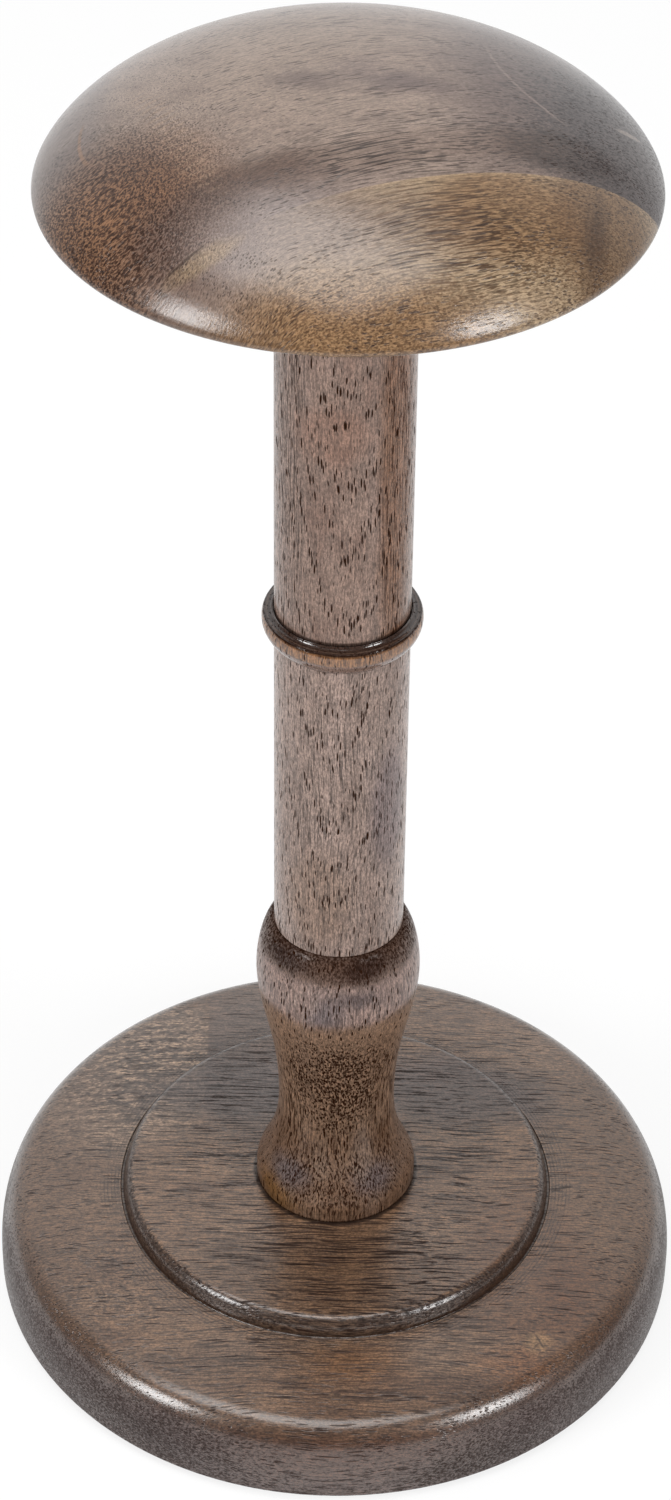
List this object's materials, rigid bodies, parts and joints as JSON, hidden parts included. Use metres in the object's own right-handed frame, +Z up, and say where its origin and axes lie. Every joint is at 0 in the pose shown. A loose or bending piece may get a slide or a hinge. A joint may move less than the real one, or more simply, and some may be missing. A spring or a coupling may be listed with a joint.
{
  "type": "milliners hat stand",
  "caption": "Turned wooden hat stand: a broad domed head on a round post with a turned ring and a vase-shaped foot, standing on a wide round base.",
  "frame": {"origin": "centre of the plane that the felt pads rest on", "axes": "+Z up along the post's axis, towards the domed head; the stand is round, so X and Y are free"},
  "size_m": [0.18, 0.18, 0.3597],
  "materials": {
    "base_wood": "dark stained open-pored hardwood, satin lacquer",
    "vase_wood": "dark stained open-pored hardwood, satin lacquer",
    "post_wood": "pinkish brown stained hardwood, satin lacquer",
    "ring_wood": "dark stained end grain, satin lacquer",
    "head_wood": "taupe and olive brown stained hardwood, satin lacquer",
    "steel": "zinc plated",
    "insert_alloy": "dull zinc alloy",
    "felt": "pressed felt"
  },
  "bodies": {
    "root": {"felt_pad_1": "felt", "felt_pad_2": "felt", "felt_pad_3": "felt", "felt_pad_4": "felt", "base_disc": "base_wood", "base_washer": "steel", "base_bolt": "steel", "vase_foot": "vase_wood", "foot_insert": "insert_alloy", "lower_post": "post_wood", "mid_insert": "insert_alloy", "mid_ring": "ring_wood", "mid_stud": "steel", "upper_post": "post_wood", "head_stud": "steel", "head_insert": "insert_alloy", "head_dome": "head_wood"}
  },
  "joints": []
}
